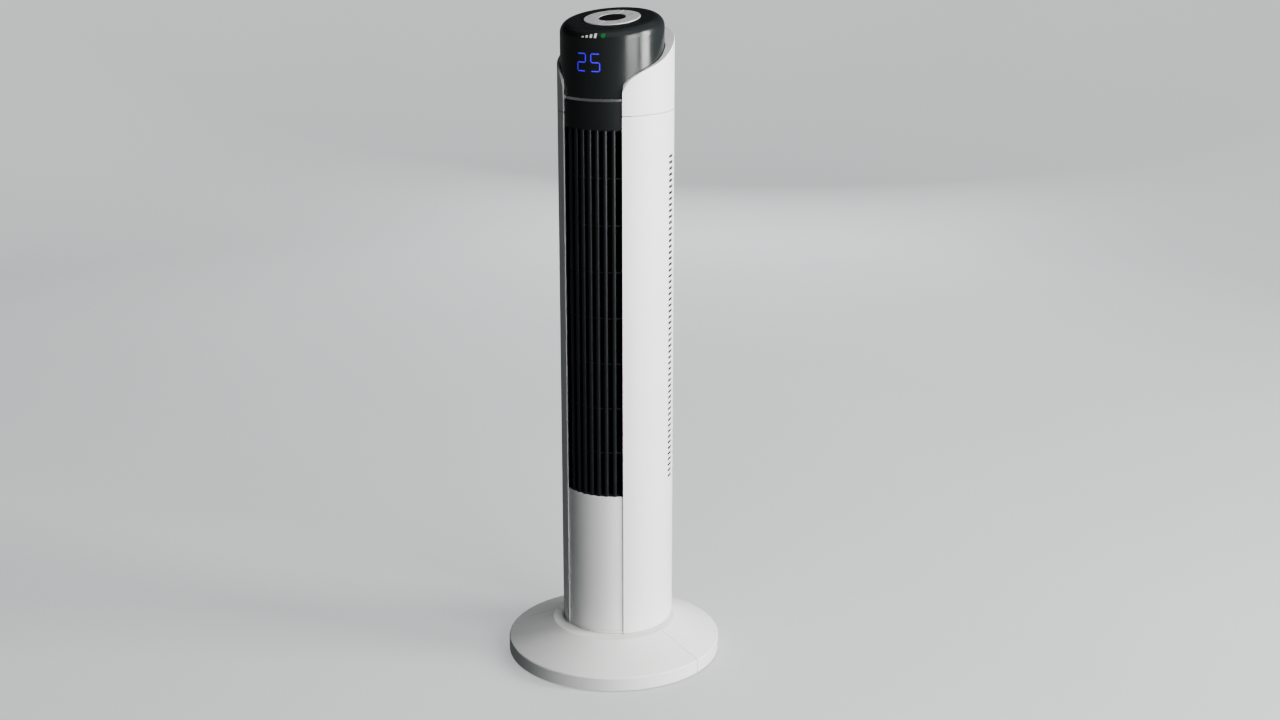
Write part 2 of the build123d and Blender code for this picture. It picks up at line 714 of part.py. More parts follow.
def motor_windings():
    """Copper end turns above and below the laminated stack."""
    inner = STATOR_BORE_R + 1
    outer = MOTOR_R - 7
    low = tube(outer, inner, MOTOR_Z - 5, MOTOR_Z + 4, 0, BLOWER_Y)
    high = tube(outer, inner, MOTOR_Z + STATOR_H - 4, MOTOR_Z + STATOR_H + 5, 0, BLOWER_Y)
    return Compound([low, high])


def motor_bell(flip):
    """Cup-shaped end shield with the shaft bearing."""
    cup = cylinder(MOTOR_R, 0, MOTOR_BELL_H) - cylinder(MOTOR_R - 2.5, -1, MOTOR_BELL_H - 2.5)
    cup += cylinder(9, MOTOR_BELL_H - 9, MOTOR_BELL_H)
    cup -= cylinder(SHAFT_R + RUNNING_GAP, -5, MOTOR_BELL_H + 5)
    for x, y in ring_of(range(45, 360, 90), MOTOR_SCREW_R + 4):
        cup -= cylinder(2.2, -5, MOTOR_BELL_H + 5, x, y)
    if flip:
        return Pos(0, BLOWER_Y, MOTOR_Z + 4) * Rot(180, 0, 0) * cup
    return Pos(0, BLOWER_Y, MOTOR_Z + STATOR_H - 4) * cup


def motor_mount_plate():
    """Steel plate that the motor hangs from, through four rubber grommets."""
    plate = inner_plate(MOTOR_PLATE_Z, MOTOR_PLATE_Z + 2.5) - cylinder(14, 200, 300, 0, BLOWER_Y)
    for x, y in ring_of(range(45, 360, 90), MOTOR_SCREW_R + 4):
        plate -= cylinder(6, 200, 300, x, y + BLOWER_Y)
    return plate


def motor_grommets():
    solids = []
    low = MOTOR_Z + STATOR_H - 4 + MOTOR_BELL_H
    for x, y in ring_of(range(45, 360, 90), MOTOR_SCREW_R + 4):
        grommet = cylinder(8, low, MOTOR_PLATE_Z, x, y + BLOWER_Y)
        grommet += cylinder(6, MOTOR_PLATE_Z, MOTOR_PLATE_Z + 2.5, x, y + BLOWER_Y)
        grommet += cylinder(8, MOTOR_PLATE_Z + 2.5, MOTOR_PLATE_Z + 5, x, y + BLOWER_Y)
        solids.append(grommet - cylinder(2.2, 100, 300, x, y + BLOWER_Y))
    return Compound(solids)


def motor_screws():
    """Long through-bolts that clamp the end shields and hang the motor."""
    bottom = MOTOR_Z + 4 - MOTOR_BELL_H
    top = MOTOR_PLATE_Z + 5
    solids = []
    for x, y in ring_of(range(45, 360, 90), MOTOR_SCREW_R + 4):
        bolt = cylinder(2.1, bottom, top, x, y + BLOWER_Y)
        bolt += cylinder(3.8, bottom - 2.5, bottom, x, y + BLOWER_Y)
        bolt += cylinder(4.0, top, top + 3, x, y + BLOWER_Y)
        solids.append(bolt)
    return Compound(solids)


# ---------------------------------------------------------------- oscillation drive and electrics
def oscillation_bracket():
    """Bridge over the gears that carries the oscillation motor."""
    bridge = block((-34, 25, 71.5), (34, 62, 74)) - cylinder(5, 60, 90, 0, PINION_Y)
    for side in (-1, 1):
        low = min(side * 31.5, side * 34)
        high = max(side * 31.5, side * 34)
        bridge += block((low, 25, TURNTABLE_TOP_Z), (high, 62, 74))
    return bridge


def oscillation_motor():
    can = cylinder(25, 74, 93, 0, PINION_Y + 8)
    can = chamfer(can.edges().sort_by(Axis.Z)[-1], 1.5)
    return can - cylinder(3.0 + RUNNING_GAP, 70, 85, 0, PINION_Y)


def motor_capacitor():
    case = block((-58, 0, TURNTABLE_TOP_Z), (-40, 34, 83))
    return fillet(case.edges().filter_by(Axis.Z), 3)


def terminal_block():
    block_body = block((38, -30, TURNTABLE_TOP_Z), (58, 6, 66))
    for index in range(4):
        y = -26 + index * 9
        block_body -= cylinder(2.2, 60, 70, 48, y + 1)
    return block_body


# ---------------------------------------------------------------- head
def on_top(sketch, low, high):
    """Extrude a sketch drawn on the slanted top between two heights along its normal."""
    return extrude(HEAD_TOP_PLANE * (Pos(0, 0, low) * sketch), amount=high - low)


def below_top(offset):
    """Everything below the slanted top plane, lowered by `offset`."""
    size = 400
    return HEAD_TOP_PLANE * Pos(0, 0, -size / 2 - offset) * Box(size, size, size)


def digit_segment(x, z, length, upright):
    """Front view of one lit segment: a bar with pointed ends."""
    end = length / 2
    half = SEGMENT_T / 2
    outline = Polyline(
        (-end, 0), (half - end, half), (end - half, half), (end, 0), (end - half, -half), (half - end, -half), close=True
    )
    return Pos(x, z) * Rot(0, 0, 90 if upright else 0) * make_face(outline)


def digit_segments(digit):
    """Front views of the lit segments of one seven-segment digit about its own centre."""
    side = (DIGIT_W - SEGMENT_T) / 2
    rise = (DIGIT_H - SEGMENT_T) / 2
    flat = 2 * side - SEGMENT_GAP
    tall = rise - SEGMENT_GAP
    places = {
        "top": (0, rise, flat, False),
        "middle": (0, 0, flat, False),
        "bottom": (0, -rise, flat, False),
        "upper_left": (-side, rise / 2, tall, True),
        "upper_right": (side, rise / 2, tall, True),
        "lower_left": (-side, -rise / 2, tall, True),
        "lower_right": (side, -rise / 2, tall, True),
    }
    lit = {
        "2": ("top", "upper_right", "middle", "lower_left", "bottom"),
        "5": ("top", "upper_left", "middle", "lower_right", "bottom"),
    }
    return [digit_segment(*places[name]) for name in lit[digit]]


def light_pipes(shapes):
    """Solids flush in the head's front wall with the given front views, drawn in X and Z."""
    skin = head_outer() - head_inner()
    solids = []
    for shape in shapes:
        bar = extrude(Plane.XZ * shape, amount=90) - block((-90, -40, 700), (90, 0, 1000))
        solids.extend((bar & skin).solids())
    return Compound(solids)


def display_digits():
    """Light pipes of the two temperature digits."""
    return light_pipes([
        Pos(centre_x, DIGIT_Z) * segment for centre_x, digit in DIGIT_CENTRES for segment in digit_segments(digit)
    ])


def level_marks():
    """Four light pipes of rising height that show the speed setting."""
    marks = []
    for index, height in enumerate(MARK_HEIGHTS):
        marks.append(Pos(FIRST_MARK_X + MARK_PITCH * index, MARK_Z + height / 2) * Rectangle(MARK_W, height))
    return light_pipes(marks)


def power_led():
    return light_pipes([Pos(LED_X, LED_Z) * Circle(LED_R)])


def head_outer():
    """Outer form of the head: a round drum cut by the slanted top, with a well rounded edge."""
    drum = cylinder(HEAD_R, HEAD_BOTTOM_Z, 960, 0, HEAD_Y) & below_top(0)
    return fillet(drum.edges().sort_by(Axis.Z)[-1], HEAD_EDGE)


def head_inner():
    """Space inside the head."""
    drum = cylinder(HEAD_R - HEAD_WALL, HEAD_BOTTOM_Z - 5, 960, 0, HEAD_Y) & below_top(HEAD_TOP_WALL)
    return fillet(drum.edges().sort_by(Axis.Z)[-1], HEAD_INNER_EDGE)


def head_housing():
    """Black head: a round shell cut by the slanted top, with the key recess and the display windows."""
    head = head_outer() - head_inner()
    head -= on_top(Circle(KEY_RECESS_R), -KEY_RECESS, 20)
    for x, y in key_stem_places():
        head -= on_top(Pos(x, y) * Circle(KEY_STEM_HOLE_R), -20, 5)
    return head - display_digits() - level_marks() - power_led()


def key_stem_places():
    """Stem positions on the slanted top: four ring keys, then the centre button."""
    return ring_of((45, 135, 225, 315), KEY_STEM_CIRCLE_R) + [(0, 0)]


def ring_key(quarter):
    """One quarter of the silver ring with its stem; quarters are split on the X and Y directions."""
    angle = 45 + 90 * quarter
    plan = Circle(RING_R) - Circle(RING_INNER_R)
    plan = Rot(0, 0, 45 - angle) * plan & Pos(50 + KEY_GAP / 2, 50 + KEY_GAP / 2) * Rectangle(100, 100)
    plan = Rot(0, 0, angle - 45) * plan
    key = on_top(plan, KEY_UNDER, RING_KEY_TOP)
    x, y = key_stem_places()[quarter]
    return key + on_top(Pos(x, y) * Circle(KEY_STEM_R), KEY_STEM_END, KEY_UNDER + 0.2)


def centre_button():
    cap = on_top(Circle(BUTTON_R), KEY_UNDER, BUTTON_TOP)
    return cap + on_top(Circle(KEY_STEM_R), KEY_STEM_END, KEY_UNDER + 0.2)


def control_board():
    board = on_top(Circle(46), BOARD_TOP - BOARD_T, BOARD_TOP)
    for angle in (0, 180):
        x, y = ring_of((angle,), 41)[0]
        board -= on_top(Pos(x, y) * Circle(1.6), -30, 0)
    return board


def tact_switches():
    solids = []
    for x, y in key_stem_places():
        body = on_top(Pos(x, y) * Rectangle(SWITCH_SIZE, SWITCH_SIZE), BOARD_TOP, SWITCH_TOP)
        solids.append(body + on_top(Pos(x, y) * Circle(1.7), SWITCH_TOP, SWITCH_TOP + 0.8))
    return Compound(solids)


def board_posts():
    """Spacers between the control board and the underside of the head's top."""
    solids = []
    for x, y in ring_of((0, 180), 41):
        post = on_top(Pos(x, y) * Circle(4), BOARD_TOP, -HEAD_TOP_WALL)
        solids.append(post)
    return Compound(solids)


def digit_block():
    return block((-19, -60, DIGIT_Z - 15), (19, -57, DIGIT_Z + 15))


def display_board():
    return block((-25, -57, 812), (25, -55.4, 866))


def head_pedestal():
    """Black drum inside the column that carries the head above the duct."""
    wall = tube(HEAD_R - 3.2, HEAD_R - 5.7, DUCT_CEILING_Z, DECK_TOP_Z, 0, HEAD_Y)
    wall &= lifted(column_oval(FRONT_RECESS + FRONT_WALL + 0.8), 700, 900)
    wall -= block((-60, -80, 700), (60, DUCT_FRONT_Y + 0.5, GRILLE_TOP_Z + 7))
    plate = tube(HEAD_R - 3.2, 30, DECK_TOP_Z - DECK_H, DECK_TOP_Z, 0, HEAD_Y)
    return wall + plate


# ---------------------------------------------------------------- all parts
PARTS = {
    "base_front_cover": base_front_cover,
    "base_rear_cover": base_rear_cover,
    "base_plate": base_plate,
    "ballast_ring": ballast_ring,
    "base_screws": base_screws,
    "rubber_feet": rubber_feet,
    "base_core": base_core,
    "slide_ring": slide_ring,
    "pivot_post": pivot_post,
    "sector_gear": sector_gear,
    "post_circlip": post_circlip,
    "cord_gland": cord_gland,
    "turntable_plate": turntable_plate,
    "rear_shell": rear_shell,
    "rear_spine": rear_spine,
    "shell_screws": shell_screws,
    "top_collar": top_collar,
    "lower_front_cover": lower_front_cover,
    "front_grille": front_grille,
    "upper_front_panel": upper_front_panel,
    "trim_strip": trim_strip,
    "head_housing": head_housing,
    "head_pedestal": head_pedestal,
    "display_digits": display_digits,
    "level_marks": level_marks,
    "power_led": power_led,
    "digit_block": digit_block,
    "display_board": display_board,
    "control_board": control_board,
    "board_posts": board_posts,
    "tact_switches": tact_switches,
    "centre_button": centre_button,
    "duct_floor": duct_floor,
    "duct_ceiling": duct_ceiling,
    "duct_scroll": duct_scroll,
    "duct_tongue": duct_tongue,
    "bearing_bush": bearing_bush,
    "bearing_rubber": bearing_rubber,
    "impeller": impeller,
    "end_pin": end_pin,
    "drive_shaft": drive_shaft,
    "motor_rotor": motor_rotor,
    "motor_stator": motor_stator,
    "motor_windings": motor_windings,
    "motor_lower_bell": lambda: motor_bell(True),
    "motor_upper_bell": lambda: motor_bell(False),
    "motor_mount_plate": motor_mount_plate,
    "motor_grommets": motor_grommets,
    "motor_screws": motor_screws,
    "drive_pinion": drive_pinion,
    "oscillation_bracket": oscillation_bracket,
    "oscillation_motor": oscillation_motor,
    "motor_capacitor": motor_capacitor,
    "terminal_block": terminal_block,
}
RING_KEY_NAMES = ("ring_key_right_rear", "ring_key_left_rear", "ring_key_left_front", "ring_key_right_front")


def main():
    os.makedirs("parts", exist_ok=True)
    for name, make in PARTS.items():
        export_step(make(), f"parts/{name}.step")
    for quarter, name in enumerate(RING_KEY_NAMES):
        export_step(ring_key(quarter), f"parts/{name}.step")


if __name__ == "__main__":
    main()
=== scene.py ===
"""Looks of a free-standing tower fan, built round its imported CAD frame. Metres, +Z up, front towards -Y."""

import json
import math

import bmesh
import bpy
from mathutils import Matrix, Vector


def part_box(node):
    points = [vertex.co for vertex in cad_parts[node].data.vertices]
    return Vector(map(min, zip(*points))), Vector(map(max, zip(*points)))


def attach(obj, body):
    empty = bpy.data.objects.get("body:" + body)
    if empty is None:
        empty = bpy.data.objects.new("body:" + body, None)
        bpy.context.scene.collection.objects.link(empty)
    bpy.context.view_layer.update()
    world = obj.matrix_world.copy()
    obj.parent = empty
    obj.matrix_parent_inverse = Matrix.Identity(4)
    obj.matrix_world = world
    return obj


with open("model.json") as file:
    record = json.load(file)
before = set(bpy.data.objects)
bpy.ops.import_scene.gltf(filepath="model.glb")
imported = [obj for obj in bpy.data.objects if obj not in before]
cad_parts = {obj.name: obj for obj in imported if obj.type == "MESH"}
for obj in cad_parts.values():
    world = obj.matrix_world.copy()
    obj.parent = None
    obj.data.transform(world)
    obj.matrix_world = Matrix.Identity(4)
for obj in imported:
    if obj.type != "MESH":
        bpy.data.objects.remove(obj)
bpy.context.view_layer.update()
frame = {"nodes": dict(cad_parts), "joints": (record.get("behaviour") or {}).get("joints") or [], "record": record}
NODES = frame["nodes"]

MM = 0.001

# Camera: places in metres, angles in degrees, lens and sensor in millimetres.
CAMERA_PLACE = (1.0689, -2.0916, 1.1173)
CAMERA_TILT = 73.65
CAMERA_TURN = 26.15
LENS_LENGTH = 50
SENSOR_WIDTH = 36

# Studio: soft lights stand round the fan, and all of it stands on a pale sweep.
SOFTBOX_DISTANCE = 3.2
SOFTBOX_HEIGHT = 1.55
DAYLIGHT = (1.0, 0.997, 0.99)
COOL_LIGHT = (0.985, 0.995, 1.0)
GLOW_TARGET = Vector((0, 0, 0.9))
SKY_LOW = (0.13, 0.137, 0.14)
SKY_HIGH = (0.03, 0.032, 0.034)
SKY_FADE = (0.05, 0.35)
STAGE_RADIUS = 4.0
STAGE_BEND = 1.2
STAGE_RISE = 1.8
STAGE_FLOOR_RINGS = (0.6, 1.6)
STAGE_SIDES = 96
STAGE_BEND_STEPS = 16

# Soft moulded edges: the width of the rounding on each CAD node that gets one. The rest keep their CAD edges.
SOFT_EDGES = {
    "rear_shell": 0.35 * MM,
    "top_collar": 0.6 * MM,
    "lower_front_cover": 0.3 * MM,
    "upper_front_panel": 0.25 * MM,
    "front_grille": 0.2 * MM,
    "trim_strip": 0.4 * MM,
    "centre_button": 0.5 * MM,
    "ring_key_right_rear": 0.65 * MM,
    "ring_key_left_rear": 0.65 * MM,
    "ring_key_left_front": 0.65 * MM,
    "ring_key_right_front": 0.65 * MM,
}
WELD_DISTANCE = 0.001 * MM
FLAT_ANGLE = math.radians(0.4)
EDGE_ANGLE = math.radians(38)
EDGE_SEGMENTS = 2

# Dust screen behind the intake slots, and the middle of the oval column that it follows.
COLUMN_CENTRE_Y = 13.2 * MM
SCREEN_INSET = 1.75 * MM
SCREEN_THICKNESS = 0.3 * MM
SCREEN_ANGLES = (91, 164)
SCREEN_HEIGHTS = (0.262, 0.717)
SCREEN_COLUMNS = 48
THREAD_PITCH = 0.9 * MM
THREAD_DEPTH = 0.15 * MM
WAVE_PERIOD = 0.314  # length of one band of the wave texture at scale 1

# Printed symbols on the ring keys.
SYMBOL_RADIUS = 2.6 * MM
SYMBOL_LINE = 0.5 * MM
SYMBOL_THICKNESS = 0.06 * MM
SYMBOL_LIFT = 0.005 * MM
ARROW_HALF_WIDTH = 1.2 * SYMBOL_LINE
SWING_START, SWING_END = 35, 145
ARROW_REACH = 23
DIAL_START, DIAL_END = 100, 440
SYMBOL_GAP = 0.7 * SYMBOL_LINE  # from the middle of one line to the start of the next
LONG_HAND = 0.6 * SYMBOL_RADIUS
SHORT_HAND = 0.55 * SYMBOL_RADIUS
TOP_FACE_DEPTH = 0.01 * MM


# ---------------------------------------------------------------- camera, lights and stage
def add_camera():
    """Camera at the front right, looking down on the fan."""
    data = bpy.data.cameras.new("camera")
    data.lens = LENS_LENGTH
    data.sensor_width = SENSOR_WIDTH
    camera = bpy.data.objects.new("camera", data)
    camera.location = CAMERA_PLACE
    camera.rotation_euler = (math.radians(CAMERA_TILT), 0, math.radians(CAMERA_TURN))
    bpy.context.scene.collection.objects.link(camera)
    bpy.context.scene.camera = camera


def direction(azimuth):
    """Level direction at an azimuth counted from the front towards the right, in degrees."""
    return Vector((math.sin(math.radians(azimuth)), -math.cos(math.radians(azimuth)), 0))


def add_softbox(name, azimuth, size, power, colour, glossy=True):
    """Upright rectangular light that faces the fan's axis."""
    data = bpy.data.lights.new(name, "AREA")
    data.shape = "RECTANGLE"
    data.size, data.size_y = size
    data.energy = power
    data.color = colour
    light = bpy.data.objects.new(name, data)
    light.location = direction(azimuth) * SOFTBOX_DISTANCE + Vector((0, 0, SOFTBOX_HEIGHT))
    light.rotation_euler = (-direction(azimuth)).to_track_quat("-Z", "Y").to_euler()
    light.visible_camera = False
    light.visible_glossy = glossy
    bpy.context.scene.collection.objects.link(light)


def add_glow(name, place, size, power):
    """Large dim light overhead that shows only as a sheen on glossy faces."""
    data = bpy.data.lights.new(name, "AREA")
    data.shape = "SQUARE"
    data.size = size
    data.energy = power
    light = bpy.data.objects.new(name, data)
    light.location = place
    light.rotation_euler = (GLOW_TARGET - light.location).to_track_quat("-Z", "Y").to_euler()
    light.visible_camera = False
    light.visible_diffuse = False
    bpy.context.scene.collection.objects.link(light)


def add_world():
    """Dim surroundings, lighter near the horizon than overhead."""
    world = bpy.data.worlds.new("studio")
    world.use_nodes = True
    tree = world.node_tree
    background = tree.nodes["Background"]
    coordinates = tree.nodes.new("ShaderNodeTexCoord")
    parts = tree.nodes.new("ShaderNodeSeparateXYZ")
    fade = tree.nodes.new("ShaderNodeMapRange")
    mix = tree.nodes.new("ShaderNodeMix")
    mix.data_type = "RGBA"
    fade.inputs["From Min"].default_value, fade.inputs["From Max"].default_value = SKY_FADE
    mix.inputs[6].default_value = (*SKY_LOW, 1)
    mix.inputs[7].default_value = (*SKY_HIGH, 1)
    tree.links.new(coordinates.outputs["Generated"], parts.inputs["Vector"])
    tree.links.new(parts.outputs["Z"], fade.inputs["Value"])
    tree.links.new(fade.outputs["Result"], mix.inputs[0])
    tree.links.new(mix.outputs[2], background.inputs["Color"])
    bpy.context.scene.world = world
    bpy.context.scene.view_settings.look = "AgX - Medium High Contrast"


def add_stage():
    """Round pale floor that curves up into a low pale wall."""
    flat_radius = STAGE_RADIUS - STAGE_BEND
    profile = [(r, 0.0) for r in (*STAGE_FLOOR_RINGS, flat_radius)]
    for step in range(1, STAGE_BEND_STEPS + 1):
        angle = math.pi / 2 * step / STAGE_BEND_STEPS
        out, up = STAGE_BEND * math.sin(angle), STAGE_BEND * (1 - math.cos(angle))
        profile.append((flat_radius + out, up))
    profile.append((STAGE_RADIUS, STAGE_RISE))
    mesh = bmesh.new()
    middle = mesh.verts.new((0, 0, 0))
    rings = []
    angles = [2 * math.pi * i / STAGE_SIDES for i in range(STAGE_SIDES)]
    for r, z in profile:
        rings.append([mesh.verts.new((r * math.cos(a), r * math.sin(a), z)) for a in angles])
    for i in range(STAGE_SIDES):
        j = (i + 1) % STAGE_SIDES
        mesh.faces.new((middle, rings[0][i], rings[0][j]))
        for inner, outer in zip(rings, rings[1:]):
            mesh.faces.new((inner[i], outer[i], outer[j], inner[j]))
    floor = finished_object("studio_floor", mesh, paint_stage())
    floor.visible_diffuse = False
    floor.visible_glossy = False


def finished_object(name, mesh, material, smooth=True):
    """Turn a bmesh into a linked object with one material."""
    data = bpy.data.meshes.new(name)
    mesh.to_mesh(data)
    mesh.free()
    data.polygons.foreach_set("use_smooth", [smooth] * len(data.polygons))
    data.materials.append(material)
    piece = bpy.data.objects.new(name, data)
    bpy.context.scene.collection.objects.link(piece)
    return piece


# ---------------------------------------------------------------- materials
class Paint:
    """Builds one node-based material step by step."""

    def __init__(self, name, colour, roughness, **sockets):
        self.material = bpy.data.materials.new(name)
        self.material.use_nodes = True
        self.tree = self.material.node_tree
        self.tree.nodes.clear()
        self.shader = self.add("ShaderNodeBsdfPrincipled")
        output = self.add("ShaderNodeOutputMaterial")
        self.link(self.shader.outputs["BSDF"], output, "Surface")
        self.coordinates = self.add("ShaderNodeTexCoord").outputs["Object"]
        self.set("Base Color", (*colour, 1))
        self.set("Roughness", roughness)
        for socket, value in sockets.items():
            self.set(socket.replace("_", " "), value)
        self.colour = None
        self.height = None

    def add(self, kind, **settings):
        node = self.tree.nodes.new(kind)
        for key, value in settings.items():
            setattr(node, key, value)
        return node

    def set(self, socket, value):
        self.shader.inputs[socket].default_value = value

    def link(self, output, node, socket):
        self.tree.links.new(output, node.inputs[socket])

    def noise(self, scale, detail=3.0, stretch=(1, 1, 1)):
        """Noise in metres: `scale` is features per metre."""
        mapping = self.add("ShaderNodeMapping")
        mapping.inputs["Scale"].default_value = stretch
        self.link(self.coordinates, mapping, "Vector")
        noise = self.add("ShaderNodeTexNoise")
        noise.inputs["Scale"].default_value = scale
        noise.inputs["Detail"].default_value = detail
        self.link(mapping.outputs["Vector"], noise, "Vector")
        return noise.outputs["Fac"]

    def ranged(self, value, low, high, from_low=0.3, from_high=0.7):
        node = self.add("ShaderNodeMapRange")
        node.inputs["From Min"].default_value = from_low
        node.inputs["From Max"].default_value = from_high
        node.inputs["To Min"].default_value = low
        node.inputs["To Max"].default_value = high
        self.link(value, node, "Value")
        return node.outputs["Result"]

    def product(self, first, second):
        node = self.add("ShaderNodeMath", operation="MULTIPLY")
        self.link(first, node, 0)
        self.link(second, node, 1)
        return node.outputs[0]

    def mix_colour(self, factor, first, second):
        """Mix two colours, each a tuple or an output."""
        node = self.add("ShaderNodeMix", data_type="RGBA")
        self.link(factor, node, 0)
        for index, colour in ((6, first), (7, second)):
            if isinstance(colour, tuple):
                node.inputs[index].default_value = (*colour, 1)
            else:
                self.link(colour, node, index)
        return node.outputs[2]

    def mottled(self, first, second, scale, stretch=(1, 1, 1)):
        """Base colour that wanders between two close tones."""
        factor = self.ranged(self.noise(scale, 4, stretch), 0, 1)
        self.colour = self.mix_colour(factor, first, second)
        self.link(self.colour, self.shader, "Base Color")
        return self

    def dusty(self, dust, amount, scale=60):
        """Pale dust that lies on faces which look up."""
        geometry = self.add("ShaderNodeNewGeometry")
        parts = self.add("ShaderNodeSeparateXYZ")
        self.link(geometry.outputs["Normal"], parts, "Vector")
        upward = self.ranged(parts.outputs["Z"], 0, amount, from_low=0.55, from_high=0.98)
        factor = self.product(upward, self.ranged(self.noise(scale, detail=5), low=0.35, high=1))
        self.colour = self.mix_colour(factor, self.colour, dust)
        self.link(self.colour, self.shader, "Base Color")
        return self

    def rough(self, low, high, scale, stretch=(1, 1, 1)):
        self.link(self.ranged(self.noise(scale, 5, stretch), low, high), self.shader, "Roughness")
        return self

    def bumped(self, height, depth):
        """Add a height pattern to the surface normal, `depth` in metres; patterns can be stacked."""
        bump = self.add("ShaderNodeBump")
        bump.inputs["Strength"].default_value = 1.0
        bump.inputs["Distance"].default_value = depth
        self.link(height, bump, "Height")
        if self.height:
            self.link(self.height, bump, "Normal")
        self.height = bump.outputs["Normal"]
        self.link(self.height, self.shader, "Normal")
        return self

    def grain(self, scale, depth, detail=2.0, stretch=(1, 1, 1)):
        """Moulded or brushed surface grain."""
        return self.bumped(self.noise(scale, detail, stretch), depth)

    def weave(self, pitch, depth):
        """Crossing threads along the height and round the column."""
        waves = []
        for axis in ("Z", "X"):
            wave = self.add("ShaderNodeTexWave", wave_type="BANDS", bands_direction=axis, wave_profile="SIN")
            wave.inputs["Scale"].default_value = WAVE_PERIOD / pitch
            self.link(self.coordinates, wave, "Vector")
            waves.append(wave.outputs["Fac"])
        threads = self.product(*waves)
        self.colour = self.mix_colour(threads, self.colour, (0.004, 0.004, 0.005))
        self.link(self.colour, self.shader, "Base Color")
        return self.bumped(threads, depth)


def paint_stage():
    """Pale studio paper with a little light of its own, so that it stays plain and even."""
    paint = Paint("studio_paper", (0.36, 0.365, 0.37), 0.9, Specular_IOR_Level=0.1)
    paint.set("Emission Color", (0.95, 0.965, 0.98, 1))
    paint.set("Emission Strength", 0.4)
    return paint.mottled((0.35, 0.355, 0.36), (0.37, 0.375, 0.38), 1.5).grain(300, 0.0002).material


def white_shell():
    paint = Paint("white_moulded_plastic", (0.80, 0.80, 0.795), 0.46, Specular_IOR_Level=0.4)
    paint.mottled((0.79, 0.791, 0.787), (0.812, 0.812, 0.808), 9).dusty((0.72, 0.71, 0.69), 0.10)
    return paint.rough(0.42, 0.52, 45).grain(2200, 0.00002).grain(14, 0.0001, 1).material


def white_frame():
    paint = Paint("white_structural_plastic", (0.74, 0.74, 0.73), 0.5)
    paint.mottled((0.71, 0.71, 0.70), (0.76, 0.76, 0.75), 14)
    return paint.rough(0.44, 0.58, 60).grain(1600, 0.00004).material


def black_panel():
    paint = Paint("black_satin_plastic", (0.018, 0.0205, 0.0215), 0.42, Specular_IOR_Level=0.4)
    paint.mottled((0.017, 0.0192, 0.0202), (0.0195, 0.0218, 0.0228), 30)
    return paint.rough(0.38, 0.48, 70).grain(2600, 0.00002).material


def grille_black():
    paint = Paint("deep_black_satin", (0.0115, 0.0145, 0.0165), 0.36, Specular_IOR_Level=0.5)
    paint.mottled((0.0105, 0.0135, 0.0155), (0.0125, 0.0155, 0.0175), 30)
    return paint.rough(0.32, 0.42, 70).grain(2600, 0.00001).material


def black_gloss():
    paint = Paint("black_gloss_lacquer", (0.020, 0.0235, 0.0235), 0.22, Specular_IOR_Level=0.5)
    paint.mottled((0.019, 0.0222, 0.0222), (0.0215, 0.025, 0.025), 20)
    return paint.rough(0.20, 0.28, 26).grain(160, 0.000005).material


def dark_plastic():
    paint = Paint("dark_inner_plastic", (0.022, 0.022, 0.024), 0.55)
    paint.mottled((0.019, 0.019, 0.021), (0.026, 0.026, 0.028), 25)
    return paint.rough(0.5, 0.65, 80).grain(1500, 0.00004).material


def silver_key():
    paint = Paint("silver_satin_paint", (0.72, 0.72, 0.715), 0.4, Metallic=0.12)
    paint.mottled((0.70, 0.70, 0.695), (0.75, 0.75, 0.745), 120)
    return paint.rough(0.34, 0.46, 200).grain(3500, 0.00001).material


def trim_chrome():
    paint = Paint("dark_chrome", (0.66, 0.66, 0.66), 0.25, Metallic=1.0)
    paint.mottled((0.58, 0.58, 0.58), (0.72, 0.72, 0.72), 50)
    return paint.rough(0.22, 0.34, 90, (1, 1, 6)).material


def lit(name, colour, strength):
    """Glowing face: a lit light pipe behind a thin clear skin for the digits and the LED; on the printed white
    marks the same faint glow is painted light.
    """
    paint = Paint(name, colour, 0.3)
    paint.set("Emission Color", (*colour, 1))
    paint.set("Emission Strength", strength)
    return paint.mottled(tuple(0.9 * c for c in colour), colour, 200).rough(0.25, 0.35, 150).material


def metal(name, first, second, low, high, brushed=(1, 1, 1), scale=150):
    """Metal between two tones and two roughnesses, with its pattern stretched where it is brushed."""
    paint = Paint(name, first, low, Metallic=1.0)
    paint.mottled(first, second, scale, brushed).rough(low, high, scale, brushed)
    return paint.grain(900, 0.00002, 2, brushed).material


def soft(name, first, second, low, high, depth):
    """Plastic, rubber or paint between two tones and two roughnesses, with a grain `depth` metres deep."""
    paint = Paint(name, first, low)
    return paint.mottled(first, second, 60).rough(low, high, 120).grain(1200, depth).material


def screen_cloth():
    paint = Paint("dust_screen", (0.03, 0.03, 0.032), 0.7)
    paint.mottled((0.026, 0.026, 0.028), (0.036, 0.036, 0.038), 90)
    return paint.weave(THREAD_PITCH, THREAD_DEPTH).material


def symbol_ink():
    return soft("symbol_ink", (0.10, 0.10, 0.105), (0.13, 0.13, 0.135), 0.5, 0.6, 0.00001)


